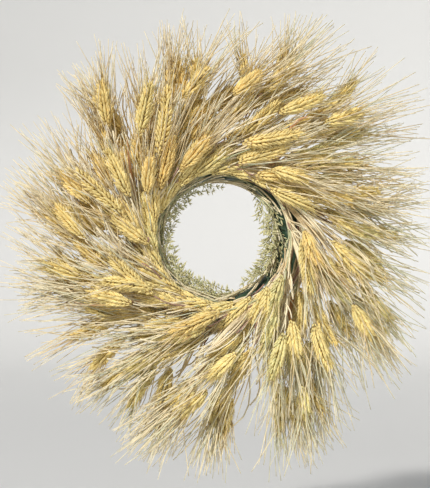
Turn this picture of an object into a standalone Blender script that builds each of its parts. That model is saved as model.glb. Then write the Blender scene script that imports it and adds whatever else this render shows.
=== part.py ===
"""Harvest door wreath: bearded wheat wired in bunches round a film-wrapped straw form.

Metres, +Z up. The wreath lies in the XZ plane and faces -Y. The origin is the point where a door
hook bears inside the top of the hanger ring. Round the wreath, clock angles run clockwise from the
top as seen from the front. Round the form's section, seat angles run from outwards (0) over the
front (90) and the inner side (180) to the back (270).
"""
import math
from collections import namedtuple

import bmesh
import bpy
import numpy as np

# Gap kept between pieces that touch.
CLEARANCE = 0.0003

# Straw form: a ring with a round section and a flattened back.
FORM_RADIUS = 0.108
FORM_SECTION = 0.020
FORM_FLAT = 0.016
FORM_SEGMENTS = 48
ROUND_STEPS = 14
FLAT_STEPS = 4

# Green film, wound round the form as one long strip.
FILM_TURNS = 10
FILM_THICKNESS = 0.0004
FILM_SLACK = 0.0006
FILM_EDGE_GAP = 0.0010
FILM_FACETS = 4

# Paddle wire, one continuous helix that ties one set of bunches with each turn.
STATIONS = 12
WIRE_RADIUS = 0.0005
WIRE_SIDES = 5
WIRE_STEP_SHARE = 1.5

# Tied stems of a wheat bunch, and of a grass sprig, where they lie on the form.
STEM_HALF = 0.0055
STEM_LAID = 0.024
SPRIG_HALF = 0.0026
RISE_LENGTH = 0.040

# Share of the room between two neighbouring bunches that the bunches take.
FILL = 0.90
ROW_GAP = 0.0008
BUNCH_SIDES = 10
BUNCH_RINGS = 9

# Rows of wheat. Seat is the place on the form's section. Lean is the final angle from the radial
# direction, and ease the length over which the stalks turn towards it. Forward is how far the awn
# tips stand in front of the heads. Reach is the radius of the awn tips, one for each station from
# the top clockwise: the bunches are picked to different lengths.
Row = namedtuple("Row", "name seat lean ease half_width half_depth forward reach")
BACK = Row(
    "back_wheat", 0, 31, 0.034, 0.044, 0.0165, 0.000,
    (0.344, 0.308, 0.300, 0.318, 0.344, 0.336, 0.314, 0.320, 0.314, 0.326, 0.316, 0.312),
)
MIDDLE = Row(
    "middle_wheat", 50, 40, 0.036, 0.036, 0.0160, 0.008,
    (0.268, 0.284, 0.276, 0.262, 0.270, 0.282, 0.288, 0.276, 0.264, 0.272, 0.280, 0.270),
)
FRONT = Row(
    "front_wheat", 97, 54, 0.042, 0.028, 0.0150, 0.020,
    (0.212, 0.224, 0.216, 0.206, 0.218, 0.226, 0.214, 0.208, 0.220, 0.214, 0.226, 0.216),
)

# Grass sprigs along the inner edge, at the stations given.
SPRIG_SEAT = 152
SPRIG_LENGTH = 0.082
SPRIG_HALF_WIDTH = 0.0060
SPRIG_HALF_DEPTH = 0.0034
SPRIG_TURN_IN = 46
SPRIG_RISE = 0.008
SPRIG_RINGS = 9
SPRIG_STATIONS = (1, 2, 3, 5, 6, 7, 8, 9, 10)

# Hanger: a U-shaped pin in the back of the form, and the wire ring that swings in it.
PIN_RADIUS = 0.0007
PIN_DEPTH = 0.028
RING_WIRE = 0.0010
RING_HALF_WIDTH = 0.0080
RING_HEIGHT = 0.0220
RING_CORNER = 0.0030
HANGER_SIDES = 8

STATION_ANGLE = 2 * math.pi / STATIONS
FILM_INSIDE = FILM_SLACK
FILM_OUTSIDE = FILM_SLACK + FILM_THICKNESS
SEAT_SURFACE = FORM_SECTION + FILM_OUTSIDE + FILM_SLACK
SECTION_Y = -(FORM_FLAT + FILM_OUTSIDE)
BAR_Y = CLEARANCE + RING_WIRE
HOOK_POINT = (0.0, BAR_Y, FORM_RADIUS + RING_HEIGHT - RING_WIRE)


def material(name, colour, roughness, metallic=0.0):
    """A Principled material of one colour."""
    made = bpy.data.materials.new(name)
    made.use_nodes = True
    shader = made.node_tree.nodes["Principled BSDF"]
    shader.inputs["Base Color"].default_value = (*colour, 1.0)
    shader.inputs["Roughness"].default_value = roughness
    shader.inputs["Metallic"].default_value = metallic
    return made


def skin(name, rings, parent, finish, closed_path=False):
    """A closed mesh through rings of points (path, round the section, xyz), capped unless closed."""
    count, sides = rings.shape[:2]
    index = np.arange(count * sides).reshape(count, sides)
    after = np.roll(index, -1, axis=0) if closed_path else index[1:]
    before = index if closed_path else index[:-1]
    quads = np.stack(
        [before, after, np.roll(after, -1, axis=1), np.roll(before, -1, axis=1)], axis=-1
    )
    faces = quads.reshape(-1, 4).tolist()
    if not closed_path:
        faces += [index[0].tolist(), index[-1].tolist()]
    mesh = bpy.data.meshes.new(name)
    mesh.from_pydata(rings.reshape(-1, 3).tolist(), [], faces)
    work = bmesh.new()
    work.from_mesh(mesh)
    bmesh.ops.recalc_face_normals(work, faces=work.faces)
    work.to_mesh(mesh)
    work.free()
    mesh.shade_smooth()
    mesh.set_sharp_from_angle(angle=math.radians(40))
    mesh.materials.append(finish)
    made = bpy.data.objects.new(name, mesh)
    made.parent = parent
    bpy.context.collection.objects.link(made)
    return made


def smooth_step(value):
    """0 below 0, 1 above 1, and an even S-curve between them."""
    value = np.clip(value, 0.0, 1.0)
    return value * value * (3 - 2 * value)


def place(radius, clock, depth):
    """Points from the distance to the wreath's axis, the clock angle and the depth along Y."""
    return np.stack([radius * np.sin(clock), depth, radius * np.cos(clock)], axis=-1)


def on_section(clock, seat, distance):
    """Points at a distance from the form's centre line, in the direction of the seat angle."""
    out = FORM_RADIUS + distance * np.cos(seat)
    return place(out, clock, SECTION_Y - distance * np.sin(seat))


def form_distance(seat, offset):
    """How far the form's surface, moved out by offset, is from the form's centre line."""
    behind = np.maximum(-np.sin(seat), 1e-9)
    return np.minimum(FORM_SECTION + offset, (FORM_FLAT + offset) / behind)


def seats(turns, finer=1.0):
    """Seat angles for a number of turns round the section, with a step at both of its corners."""
    corner = math.acos(FORM_FLAT / FORM_SECTION)
    first = corner - math.pi / 2
    last = 1.5 * math.pi - corner
    rounded = np.linspace(first, last, round(ROUND_STEPS * finer), endpoint=False)
    flat = np.linspace(last, last + 2 * corner, FLAT_STEPS, endpoint=False)
    turn = np.concatenate([rounded, flat])
    return (turn[None, :] + 2 * math.pi * np.arange(turns)[:, None]).ravel()


def wire_clock(seat):
    """The clock angle of the wire's first turn at a seat angle. It crosses the back mid-station."""
    return STATION_ANGLE * (seat / (2 * math.pi) - 0.25)


def straw_form(parent, finish):
    clock, seat = np.meshgrid(
        np.linspace(0, 2 * math.pi, FORM_SEGMENTS, endpoint=False),
        seats(1),
        indexing="ij",
    )
    rings = on_section(clock, seat, form_distance(seat, 0.0))
    return skin("straw_form", rings, parent, finish, closed_path=True)


def film_wrap(parent, finish):
    """The strip winds once round the section while it advances by its own width and a gap.

    Its middle crosses the back at the top.
    """
    pitch = 2 * math.pi / FILM_TURNS
    half = 0.5 * (pitch - FILM_EDGE_GAP / FORM_RADIUS)
    across = np.linspace(-half, half, FILM_FACETS + 1)
    seat = seats(FILM_TURNS)[:, None] + 0 * across[None, :]
    clock = pitch * (seat / (2 * math.pi) - 0.75) + across[None, :]
    outside = on_section(clock, seat, form_distance(seat, FILM_OUTSIDE))
    inside = on_section(clock, seat, form_distance(seat, FILM_INSIDE))
    rings = np.concatenate([outside, inside[:, ::-1]], axis=1)
    return skin("film_wrap", rings, parent, finish)


def tube_frames(path, side):
    """The two unit directions across a path: one nearest to side, and one square to it."""
    along = np.gradient(path, axis=0)
    along /= np.linalg.norm(along, axis=1, keepdims=True)
    first = side - along * np.sum(side * along, axis=1, keepdims=True)
    first /= np.linalg.norm(first, axis=1, keepdims=True)
    return first, np.cross(along, first)


def tube(name, path, side, half_first, half_second, sides, parent, finish):
    """An elliptical tube along an open path."""
    first, second = tube_frames(path, side)
    turn = np.linspace(0, 2 * math.pi, sides, endpoint=False)[None, :, None]
    rings = path[:, None, :] + np.cos(turn) * (first * half_first)[:, None, :]
    rings = rings + np.sin(turn) * (second * half_second)[:, None, :]
    return skin(name, rings, parent, finish)


def binding_wire(parent, finish):
    """The wire hugs the film at the back, and passes over the tied stems and sprigs elsewhere."""
    seat = seats(STATIONS, WIRE_STEP_SHARE)
    degrees = np.degrees(seat) % 360
    signed = np.where(degrees > 290, degrees - 360, degrees)
    over_stems = smooth_step((signed + 62) / 30) * smooth_step((134 - signed) / 22)
    over_sprigs = smooth_step((signed - 112) / 20) * smooth_step((205 - signed) / 30)
    lift = np.maximum(2 * STEM_HALF * over_stems, 2 * SPRIG_HALF * over_sprigs)
    lift = lift + CLEARANCE * np.maximum(over_stems, over_sprigs)
    distance = form_distance(seat, FILM_OUTSIDE + FILM_SLACK + WIRE_RADIUS) + lift
    clock = wire_clock(seat)
    path = on_section(clock, seat, distance)
    side = path - on_section(clock, seat, 0 * distance)
    size = np.full((len(path), 1), WIRE_RADIUS)
    return tube("binding_wire", path, side, size, size, WIRE_SIDES, parent, finish)


def seat_point(row_seat, half):
    """The distance to the axis and the depth of stems that lie on the form at a seat angle."""
    distance = SEAT_SURFACE + half
    angle = math.radians(row_seat)
    return FORM_RADIUS + distance * math.cos(angle), SECTION_Y - distance * math.sin(angle)


def first_clock(row_seat, radius):
    """The clock angle where stems start, so that the wire crosses the middle of their laid part."""
    return wire_clock(math.radians(row_seat)) - 0.5 * STEM_LAID / radius


def head_depths():
    """The depth of each row's heads, stacked from the back to the front with a gap between rows."""
    back = SECTION_Y
    middle = back - BACK.half_depth - MIDDLE.half_depth - ROW_GAP
    stacked = middle - MIDDLE.half_depth - MIDDLE.forward - FRONT.half_depth - ROW_GAP
    over_wire = SECTION_Y - SEAT_SURFACE - 2 * (STEM_HALF + WIRE_RADIUS + ROW_GAP)
    front = min(stacked, over_wire - FRONT.half_depth)
    return {BACK.name: back, MIDDLE.name: middle, FRONT.name: front}


def stalk_line(row, end):
    """Distance along, radius and clock angle of a row's centre line, laid first and then leaning out.

    The lean from radial is square on the form, and falls to the row's lean exponentially.
    """
    length = np.linspace(0.0, end, 400)
    final = math.radians(row.lean)
    past = np.maximum(length - STEM_LAID, 0.0)
    lean = final + (math.pi / 2 - final) * np.exp(-past / row.ease)
    start, _ = seat_point(row.seat, STEM_HALF)
    step = length[1]
    radius = start + np.concatenate([[0], np.cumsum(np.cos(lean)[1:] * step)])
    turned = np.concatenate([[0], np.cumsum(np.sin(lean)[1:] * step / radius[1:])])
    return length, radius, first_clock(row.seat, start) + turned


def room_beside(radius, clock):
    """For each point of a bunch's line, the distance to the next bunches' lines on both sides."""
    here = radius * np.exp(1j * clock)
    turned = [here * np.exp(1j * side * STATION_ANGLE) for side in (-1, 1)]
    return np.min([np.abs(here[:, None] - other[None, :]).min(axis=1) for other in turned], axis=0)


def bunch_shape(row, reach, depth):
    """Centre line and half sizes of one bunch: tied stems, a fan of ears, and awns that taper."""
    length, radius, clock = stalk_line(row, 3 * reach)
    half_room = 0.5 * FILL * room_beside(radius, clock)
    kept = radius <= reach
    length, radius, clock, half_room = (v[kept] for v in (length, radius, clock, half_room))
    share = (length - STEM_LAID) / (length[-1] - STEM_LAID)
    grown = smooth_step(share / 0.45)
    taper = 1 - 0.55 * smooth_step((share - 0.62) / 0.38)
    wide = (STEM_HALF + (row.half_width - STEM_HALF) * grown) * taper
    wide = np.maximum(np.minimum(wide, half_room), 0.8 * STEM_HALF)
    risen = smooth_step((length - STEM_LAID) / RISE_LENGTH)
    deep = (STEM_HALF + (row.half_depth - STEM_HALF) * risen) * taper
    _, seat_depth = seat_point(row.seat, STEM_HALF)
    head_depth = depth - row.forward * smooth_step((share - 0.2) / 0.8)
    path = place(radius, clock, seat_depth + (head_depth - seat_depth) * risen)
    laid = np.searchsorted(length, STEM_LAID)
    picked = np.linspace(laid, len(length) - 1, BUNCH_RINGS).round().astype(int)
    picked = np.concatenate([[0], picked])
    return path[picked], wide[picked, None], deep[picked, None]


def turned_round(path, angle):
    """The path turned clockwise round the wreath's axis."""
    flat = (path[:, 2] + 1j * path[:, 0]) * np.exp(1j * angle)
    return np.stack([flat.imag, path[:, 1], flat.real], axis=-1)


def wheat_row(row, depth, parent, finish):
    """One bunch at each station, each with its own reach."""
    toward_front = np.array([0.0, -1.0, 0.0])
    for station, reach in enumerate(row.reach):
        path, wide, deep = bunch_shape(row, reach, depth)
        path = turned_round(path, station * STATION_ANGLE)
        name = f"{row.name}_{station + 1:02d}"
        tube(name, path, toward_front, deep, wide, BUNCH_SIDES, parent, finish)


def grass_sprigs(parent, finish):
    """Short sprigs that follow the inner edge, and turn in a little towards the opening."""
    radius, depth = seat_point(SPRIG_SEAT, SPRIG_HALF)
    length = np.linspace(0.0, SPRIG_LENGTH, 200)
    share = np.clip((length - STEM_LAID) / (SPRIG_LENGTH - STEM_LAID), 0.0, 1.0)
    lean = math.pi / 2 + math.radians(SPRIG_TURN_IN) * smooth_step(share / 0.2) * (1 - share)
    step = length[1]
    radius = radius + np.concatenate([[0], np.cumsum(np.cos(lean)[1:] * step)])
    turned = np.concatenate([[0], np.cumsum(np.sin(lean)[1:] * step / radius[1:])])
    clock = first_clock(SPRIG_SEAT, radius[0]) + turned
    risen = smooth_step(share / 0.4)
    path = place(radius, clock, depth - SPRIG_RISE * risen)
    swell = np.sin(math.pi * np.clip(share, 0.0, 0.9) / 0.9) ** 0.7 * (share < 0.9)
    wide = SPRIG_HALF + (SPRIG_HALF_WIDTH - SPRIG_HALF) * swell
    wide = np.minimum(wide, 0.5 * FILL * room_beside(radius, clock))
    deep = SPRIG_HALF + (SPRIG_HALF_DEPTH - SPRIG_HALF) * swell
    picked = np.linspace(0, len(length) - 1, SPRIG_RINGS).round().astype(int)
    for number, station in enumerate(SPRIG_STATIONS):
        turned_path = turned_round(path[picked], station * STATION_ANGLE)
        tube(
            f"inner_grass_{number + 1}", turned_path, np.array([0.0, -1.0, 0.0]),
            deep[picked, None], wide[picked, None], 8, parent, finish,
        )


def arc(centre, radius, start, end, steps):
    """Points (across, along) on an arc, with angles in degrees from the first axis."""
    angle = np.radians(np.linspace(start, end, steps + 1))
    return np.stack([centre[0] + radius * np.cos(angle), centre[1] + radius * np.sin(angle)], -1)


def hanger_pin(parent, finish):
    """A U-shaped pin: two legs in the form, and a crown that goes round the ring's bar."""
    bend = RING_WIRE + CLEARANCE + PIN_RADIUS
    crown = arc((BAR_Y, 0.0), bend, 90, -90, 8)
    outline = np.concatenate([[(-PIN_DEPTH, bend)], crown, [(-PIN_DEPTH, -bend)]])
    path = np.stack([0 * outline[:, 0], outline[:, 0], FORM_RADIUS + outline[:, 1]], axis=-1)
    size = np.full((len(path), 1), PIN_RADIUS)
    side = np.array([1.0, 0.0, 0.0])
    return tube("hanger_pin", path, side, size, size, HANGER_SIDES, parent, finish)


def pin_hole(leg, parent):
    """A hidden cutter for the hole that one leg of the pin makes in the form and its film."""
    bend = RING_WIRE + CLEARANCE + PIN_RADIUS
    work = bmesh.new()
    deep = PIN_DEPTH + 2 * CLEARANCE
    bmesh.ops.create_cone(
        work, cap_ends=True, segments=8, radius1=PIN_RADIUS + CLEARANCE,
        radius2=PIN_RADIUS + CLEARANCE, depth=deep + RING_WIRE,
    )
    mesh = bpy.data.meshes.new("pin_hole")
    work.to_mesh(mesh)
    work.free()
    cutter = bpy.data.objects.new("pin_hole", mesh)
    cutter.rotation_euler = (math.pi / 2, 0.0, 0.0)
    cutter.location = (0.0, 0.5 * (RING_WIRE - deep), FORM_RADIUS + leg * bend)
    cutter.parent = parent
    cutter.hide_render = True
    cutter.display_type = "WIRE"
    bpy.context.collection.objects.link(cutter)
    return cutter


def cut(target, cutter):
    """The target loses the cutter's volume."""
    boolean = target.modifiers.new("cut", "BOOLEAN")
    boolean.operation = "DIFFERENCE"
    boolean.solver = "EXACT"
    boolean.object = cutter


def hanger_ring(hinge, finish):
    """A round-topped wire loop. Its straight bar is the hinge's axis and passes under the crown."""
    shoulder = RING_HEIGHT - RING_HALF_WIDTH
    inset = RING_HALF_WIDTH - RING_CORNER
    outline = np.concatenate([
        arc((inset, RING_CORNER), RING_CORNER, -90, 0, 4),
        arc((0.0, shoulder), RING_HALF_WIDTH, 0, 180, 14),
        arc((-inset, RING_CORNER), RING_CORNER, 180, 270, 4),
    ])
    path = np.stack([outline[:, 0], 0 * outline[:, 0], outline[:, 1]], axis=-1)
    along = np.roll(path, -1, axis=0) - np.roll(path, 1, axis=0)
    along /= np.linalg.norm(along, axis=1, keepdims=True)
    out = np.cross(along, np.array([0.0, 1.0, 0.0]))
    turn = np.linspace(0, 2 * math.pi, HANGER_SIDES, endpoint=False)[None, :, None]
    behind = np.array([0.0, 1.0, 0.0])[None, None, :]
    rings = path[:, None] + RING_WIRE * (np.cos(turn) * out[:, None] + np.sin(turn) * behind)
    return skin("hanger_ring", rings, hinge, finish, closed_path=True)


def empty(name, location, parent=None):
    made = bpy.data.objects.new(name, None)
    made.location = location
    made.parent = parent
    bpy.context.collection.objects.link(made)
    return made


def main():
    for old in list(bpy.data.objects):
        bpy.data.objects.remove(old)
    wreath = empty("wreath_centre", tuple(-value for value in HOOK_POINT))
    hinge = empty("hanger_hinge", (0.0, BAR_Y, FORM_RADIUS), wreath)
    wheat = material("wheat", (0.74, 0.56, 0.27), 0.65)
    grass = material("grass", (0.60, 0.58, 0.33), 0.70)
    steel = material("galvanised_wire", (0.45, 0.45, 0.44), 0.40, 0.9)
    form = straw_form(wreath, material("straw", (0.62, 0.45, 0.20), 0.80))
    film = film_wrap(wreath, material("green_film", (0.10, 0.22, 0.09), 0.30))
    for leg in (-1, 1):
        cutter = pin_hole(leg, wreath)
        cut(form, cutter)
        cut(film, cutter)
    binding_wire(wreath, material("paddle_wire", (0.12, 0.20, 0.12), 0.45, 0.6))
    hanger_pin(wreath, steel)
    hanger_ring(hinge, steel)
    depths = head_depths()
    for row in (BACK, MIDDLE, FRONT):
        wheat_row(row, depths[row.name], wreath, wheat)
    grass_sprigs(wreath, grass)


main()
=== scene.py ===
import math
import bpy
import numpy as np
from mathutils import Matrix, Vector


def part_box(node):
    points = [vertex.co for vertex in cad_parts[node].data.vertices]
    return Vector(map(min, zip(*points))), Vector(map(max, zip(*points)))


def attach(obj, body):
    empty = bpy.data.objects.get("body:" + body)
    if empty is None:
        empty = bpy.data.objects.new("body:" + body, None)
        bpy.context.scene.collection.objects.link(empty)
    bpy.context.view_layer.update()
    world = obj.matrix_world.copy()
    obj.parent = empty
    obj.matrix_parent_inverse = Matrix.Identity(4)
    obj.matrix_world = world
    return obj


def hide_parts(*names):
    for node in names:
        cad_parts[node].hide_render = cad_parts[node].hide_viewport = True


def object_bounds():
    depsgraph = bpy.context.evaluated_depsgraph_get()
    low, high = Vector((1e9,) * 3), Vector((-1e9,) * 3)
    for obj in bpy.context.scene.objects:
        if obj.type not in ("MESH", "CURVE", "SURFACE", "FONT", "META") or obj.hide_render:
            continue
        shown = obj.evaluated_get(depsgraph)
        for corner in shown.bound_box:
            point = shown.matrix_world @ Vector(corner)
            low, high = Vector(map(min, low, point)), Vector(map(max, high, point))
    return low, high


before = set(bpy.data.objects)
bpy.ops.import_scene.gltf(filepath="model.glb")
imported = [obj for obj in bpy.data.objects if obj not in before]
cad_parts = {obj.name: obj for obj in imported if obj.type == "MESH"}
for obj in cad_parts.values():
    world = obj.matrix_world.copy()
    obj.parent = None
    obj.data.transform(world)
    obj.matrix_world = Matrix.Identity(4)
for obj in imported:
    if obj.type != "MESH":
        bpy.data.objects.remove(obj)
cadBox = np.array(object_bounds())
print("frame loaded")

rng = np.random.default_rng(37)
formLow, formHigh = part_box("straw_form")
# measures of the form, and the room in depth that all stalks keep to, in metres
wreath = {
    "centreX": 0.5 * (formLow.x + formHigh.x),
    "centreZ": 0.5 * (formLow.z + formHigh.z),
    "backY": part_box("film_wrap")[1].y,
    "outerRadius": 0.5 * (formHigh.x - formLow.x),
    "section": 0.020,
    "sectionDepth": 0.017,
    "stemHalf": 0.0055,
    "nearWall": 0.0018,
    "foremost": 0.124,
    "easing": 0.003,
}
wreath["ringRadius"] = wreath["outerRadius"] - wreath["section"]
front = np.array([0.0, -1.0, 0.0])


def draw(span, *size):
    # random numbers, even from the span's low end to its high end
    return rng.uniform(*span, size)


def smoothStep(x):
    # 0 below 0, 1 above 1, 3x^2 - 2x^3 between
    x = np.clip(x, 0.0, 1.0)
    return x * x * (3 - 2 * x)


def unit(v):
    # v over its own length
    return v / np.maximum(np.linalg.norm(v, axis=-1, keepdims=True), 1e-12)


def onWreath(radius, clock, depth):
    # radius from the wreath's axis, clock in degrees clockwise from the top, depth from the back
    # towards the viewer: x = r sin c, z = r cos c, y = back - depth
    c = np.radians(clock)
    x = wreath["centreX"] + radius * np.sin(c)
    z = wreath["centreZ"] + radius * np.cos(c)
    return np.stack(np.broadcast_arrays(x, wreath["backY"] - depth, z), -1)


def fromWreath(points):
    # the other way round: radius = (x^2 + z^2)^0.5, clock = atan(x / z), depth = back - y
    x, z = points[..., 0] - wreath["centreX"], points[..., 2] - wreath["centreZ"]
    return np.hypot(x, z), np.degrees(np.arctan2(x, z)), wreath["backY"] - points[..., 1]


def outwards(clock, lean):
    # direction in the wreath's plane: lean degrees clockwise of straight out
    a = np.radians(clock + lean)
    return np.stack(np.broadcast_arrays(np.sin(a), 0.0 * a, np.cos(a)), -1)


def settle(paths):
    # depths eased into the room between the wall and the foremost heads: each limit is a rounded
    # corner, low + w ln(1 + e^((d - low) / w))
    depth = wreath["backY"] - paths[..., 1]
    w = wreath["easing"]
    depth = wreath["nearWall"] + w * np.logaddexp(0, (depth - wreath["nearWall"]) / w)
    depth = wreath["foremost"] - w * np.logaddexp(0, (wreath["foremost"] - depth) / w)
    return np.stack([paths[..., 0], wreath["backY"] - depth, paths[..., 2]], -1)


def bezier(start, startWay, end, endWay, hold, steps):
    # cubic through start and end, leaving and arriving along the two ways with handles of
    # hold times the distance: (1-t)^3 A + 3(1-t)^2 t B + 3(1-t) t^2 C + t^3 D
    span = np.linalg.norm(end - start, axis=-1, keepdims=True)
    b = start + startWay * span * hold
    c = end - endWay * span * hold
    t = np.linspace(0, 1, steps)[None, :, None]
    s = 1 - t
    return (s**3 * start[:, None] + 3 * s**2 * t * b[:, None]
            + 3 * s * t**2 * c[:, None] + t**3 * end[:, None])


def cornerUv(left, right, low, high):
    # the four corners of each face in its map cell, round from the lower left
    corners = ((left, low), (right, low), (right, high), (left, high))
    return np.stack([np.stack(np.broadcast_arrays(u, v), -1) for u, v in corners], -2)


def withMarks(made, marks, copies, points):
    # each mark has one value for each copy, held by all its points
    for name, value in marks.items():
        made[name] = np.repeat(np.broadcast_to(value, (copies,)), points)
    return made


def sweep(paths, wide, deep, sides, roll=0.0, **marks):
    # rings of cos(a) wide along the first normal and sin(a) deep along the second, carried along
    # each path; both ends are capped
    n, steps = paths.shape[:2]
    along = unit(np.gradient(paths, axis=1))
    first = unit(np.cross(along, front))
    second = np.cross(along, first)
    roll = np.broadcast_to(roll, (n, steps))[..., None]
    first, second = (first * np.cos(roll) + second * np.sin(roll),
                     second * np.cos(roll) - first * np.sin(roll))
    a = np.linspace(0, 2 * math.pi, sides, endpoint=False)[None, None, :, None]
    wide = np.broadcast_to(wide, (n, steps))[..., None, None]
    deep = np.broadcast_to(deep, (n, steps))[..., None, None]
    points = (paths[:, :, None] + np.cos(a) * wide * first[:, :, None]
              + np.sin(a) * deep * second[:, :, None])
    index = np.arange(n * steps * sides).reshape(n, steps, sides)
    after = np.roll(index, -1, axis=2)
    quads = np.stack([index[:, :-1], after[:, :-1], after[:, 1:], index[:, 1:]], -1)
    u = np.arange(sides) / sides
    v = (np.arange(steps - 1) / (steps - 1))[:, None]
    uv = cornerUv(u, u + 1 / sides, v, v + 1 / (steps - 1)).reshape(-1, 4, 2)
    rim = np.stack([u, 0 * u], -1)
    return withMarks({
        "points": points.reshape(-1, 3),
        "faces": [quads.reshape(-1, 4), np.concatenate([index[:, 0, ::-1], index[:, -1]])],
        "uv": [np.tile(uv, (n, 1, 1)), np.repeat([rim, rim + [0, 0.999]], n, axis=0)],
        "cell": [np.repeat(np.arange(n), (steps - 1) * sides), np.tile(np.arange(n), 2)],
        "cells": n,
        "along": np.tile(np.repeat(np.linspace(0, 1, steps), sides), n),
    }, marks, n, steps * sides)


seedForm = {"belly": 0.72, "blunt": 0.8, "slim": 0.25}


def seedTemplate(sides, rings):
    # a pointed seed of length 1 along z: radius = sin(pi z^belly)^blunt (1 - slim z)
    z = (np.arange(rings) + 1) / (rings + 1)
    radius = np.sin(math.pi * z**seedForm["belly"]) ** seedForm["blunt"]
    radius = radius * (1 - seedForm["slim"] * z)
    a = np.linspace(0, 2 * math.pi, sides, endpoint=False)
    ring = np.stack([np.cos(a)[None] * radius[:, None], np.sin(a)[None] * radius[:, None],
                     np.broadcast_to(z[:, None], (rings, sides))], -1)
    index = 1 + np.arange(rings * sides).reshape(rings, sides)
    after = np.roll(index, -1, axis=1)
    quads = np.stack([index[:-1], after[:-1], after[1:], index[1:]], -1).reshape(-1, 4)
    low = np.stack([np.zeros(sides, int), after[0], index[0]], -1)
    high = np.stack([index[-1], after[-1], np.full(sides, rings * sides + 1)], -1)
    u = np.arange(sides) / sides
    mid, end = u + 0.5 / sides, u + 1 / sides
    tips = [((mid, 0.0), (end, z[0]), (u, z[0])), ((u, z[-1]), (end, z[-1]), (mid, 1.0))]
    return {
        "points": np.concatenate([[[0, 0, 0]], ring.reshape(-1, 3), [[0, 0, 1]]]),
        "quads": quads,
        "tris": np.concatenate([low, high]),
        "quadUv": cornerUv(u, end, z[:-1, None], z[1:, None]).reshape(-1, 4, 2),
        "triUv": np.concatenate([np.stack([np.stack([p, 0 * p + q], -1) for p, q in tip], -2)
                                 for tip in tips]),
    }


def scatter(template, origin, xWay, zWay, size, **marks):
    # copies of the template: origin + x size0 X + y size1 Y + z size2 Z for each copy
    n = len(origin)
    xWay = unit(xWay - zWay * np.sum(xWay * zWay, -1, keepdims=True))
    yWay = np.cross(zWay, xWay)
    p = template["points"]
    points = (origin[:, None] + p[None, :, 0:1] * (size[:, 0:1] * xWay)[:, None]
              + p[None, :, 1:2] * (size[:, 1:2] * yWay)[:, None]
              + p[None, :, 2:3] * (size[:, 2:3] * zWay)[:, None])
    shift = (np.arange(n) * len(p))[:, None, None]
    return withMarks({
        "points": points.reshape(-1, 3),
        "faces": [(template["quads"][None] + shift).reshape(-1, 4),
                  (template["tris"][None] + shift).reshape(-1, 3)],
        "uv": [np.tile(template["quadUv"], (n, 1, 1)), np.tile(template["triUv"], (n, 1, 1))],
        "cell": [np.repeat(np.arange(n), len(template[name])) for name in ("quads", "tris")],
        "cells": n,
        "along": np.tile(p[:, 2], n),
    }, marks, n, len(p))


def join(shapes):
    # one shape from several, with their points and cells numbered on
    faces, uv, cell, shift, cells = [], [], [], 0, 0
    for shape in shapes:
        faces += [f + shift for f in shape["faces"]]
        uv += shape["uv"]
        cell += [c + cells for c in shape["cell"]]
        shift += len(shape["points"])
        cells += shape["cells"]
    made = {"faces": faces, "uv": uv, "cell": cell, "cells": cells}
    for name in ("points", "along", "tint", "kind"):
        made[name] = np.concatenate([shape[name] for shape in shapes])
    return made


mapCell = {"margin": 0.08, "tall": 3.0}


def buildPiece(name, shape, material, node, columns=None):
    # the shape's arrays as a mesh that stands for its CAD node; each cell of the shape gets its
    # own rectangle in the map, so no two faces share a place
    mesh = bpy.data.meshes.new(name)
    loops = np.concatenate([f.ravel() for f in shape["faces"]])
    totals = np.concatenate([np.full(len(f), f.shape[1]) for f in shape["faces"]])
    mesh.vertices.add(len(shape["points"]))
    mesh.vertices.foreach_set("co", shape["points"].astype(np.float32).ravel())
    mesh.loops.add(len(loops))
    mesh.loops.foreach_set("vertex_index", loops.astype(np.int32))
    mesh.polygons.add(len(totals))
    mesh.polygons.foreach_set("loop_start", (np.cumsum(totals) - totals).astype(np.int32))
    mesh.polygons.foreach_set("loop_total", totals.astype(np.int32))
    mesh.update(calc_edges=True)
    mesh.shade_smooth()
    if "uv" in shape:
        across = columns or math.ceil(math.sqrt(shape["cells"] * mapCell["tall"]))
        down = math.ceil(shape["cells"] / across)
        placed = []
        for uv, cell in zip(shape["uv"], shape["cell"]):
            corner = np.stack([cell % across, cell // across], -1)[:, None, :]
            inside = corner + mapCell["margin"] + (1 - 2 * mapCell["margin"]) * uv
            placed.append((inside / [across, down]).reshape(-1, 2))
        layer = mesh.uv_layers.new(name="OFBake")
        layer.uv.foreach_set("vector", np.concatenate(placed).astype(np.float32).ravel())
    for mark in ("along", "tint", "kind"):
        if mark in shape:
            attribute = mesh.attributes.new(mark, "FLOAT", "POINT")
            attribute.data.foreach_set("value", shape[mark].astype(np.float32))
    mesh.materials.append(material)
    piece = bpy.data.objects.new(name, mesh)
    bpy.context.collection.objects.link(piece)
    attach(piece, "wreath")
    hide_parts(node)


def rgba(r, g, b):
    # an opaque colour
    return (r, g, b, 1.0)


def fillInputs(tree, node, inputs):
    # an input is linked where its value is a socket, and set where it is a constant
    for label, value in inputs.items():
        if isinstance(value, bpy.types.NodeSocket):
            tree.links.new(value, node.inputs[label])
        else:
            node.inputs[label].default_value = value


def addNode(tree, kind, inputs, **settings):
    # a new shader node with its settings and inputs
    node = tree.nodes.new("ShaderNode" + kind)
    for name, value in settings.items():
        setattr(node, name, value)
    fillInputs(tree, node, inputs)
    return node


def mixColor(tree, share, a, b):
    # a (1 - share) + b share
    return addNode(tree, "Mix", {0: share, 6: a, 7: b}, data_type="RGBA").outputs[2]


def mapRange(tree, value, low, high, toLow=0.0, toHigh=1.0):
    # low to high stretched to toLow to toHigh, and held at both ends
    inputs = {0: value, 1: low, 2: high, 3: toLow, 4: toHigh}
    return addNode(tree, "MapRange", inputs).outputs[0]


def noise(tree, place, scale, detail):
    # soft noise round 0.5
    inputs = {"Vector": place, "Scale": scale, "Detail": detail}
    return addNode(tree, "TexNoise", inputs).outputs["Fac"]


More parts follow.
